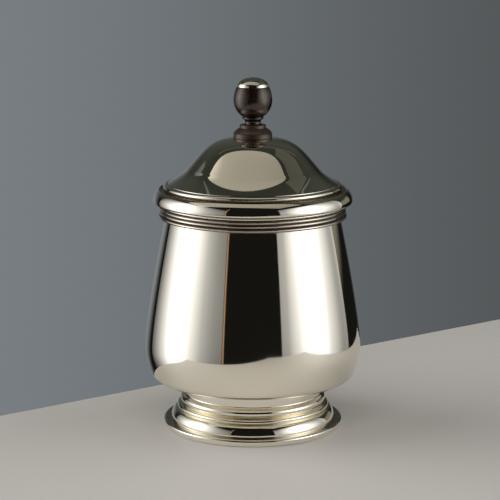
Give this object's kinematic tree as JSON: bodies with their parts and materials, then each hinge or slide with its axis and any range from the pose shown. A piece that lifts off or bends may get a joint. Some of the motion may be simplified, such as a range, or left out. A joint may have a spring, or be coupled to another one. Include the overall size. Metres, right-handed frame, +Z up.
{
  "type": "lidded sugar box",
  "caption": "Round pear-shaped plated metal box on a stepped moulded foot, with a reeded mouth, a lift-off domed lid and a turned wood ball knob.",
  "frame": {"origin": "centre of the foot's underside, on the table", "axes": "+Z up along the turning axis; the object is round, so +X and +Y are any two directions across it, with -Y taken as the front"},
  "size_m": [0.1052, 0.1052, 0.17],
  "materials": {
    "silver_plate": "mirror polish",
    "polished_wood": "polished",
    "oiled_wood": "satin",
    "brass": "turned"
  },
  "bodies": {
    "box": {"foot_ring": "silver_plate", "foot_shell": "silver_plate", "body_shell": "silver_plate", "reeded_band": "silver_plate"},
    "lid": {"lid_bezel": "silver_plate", "lid_rim": "silver_plate", "lid_dome": "silver_plate", "crown_plate": "silver_plate", "knob_base": "oiled_wood", "knob_ball": "polished_wood", "finial_cap": "silver_plate", "finial_rod": "brass", "finial_washer": "brass", "finial_nut": "brass"}
  },
  "joints": [
    {"name": "lid_lift", "type": "slide", "parent": "box", "child": "lid", "axis": [0, 0, 1], "range_m": [0, 0.12]}
  ]
}
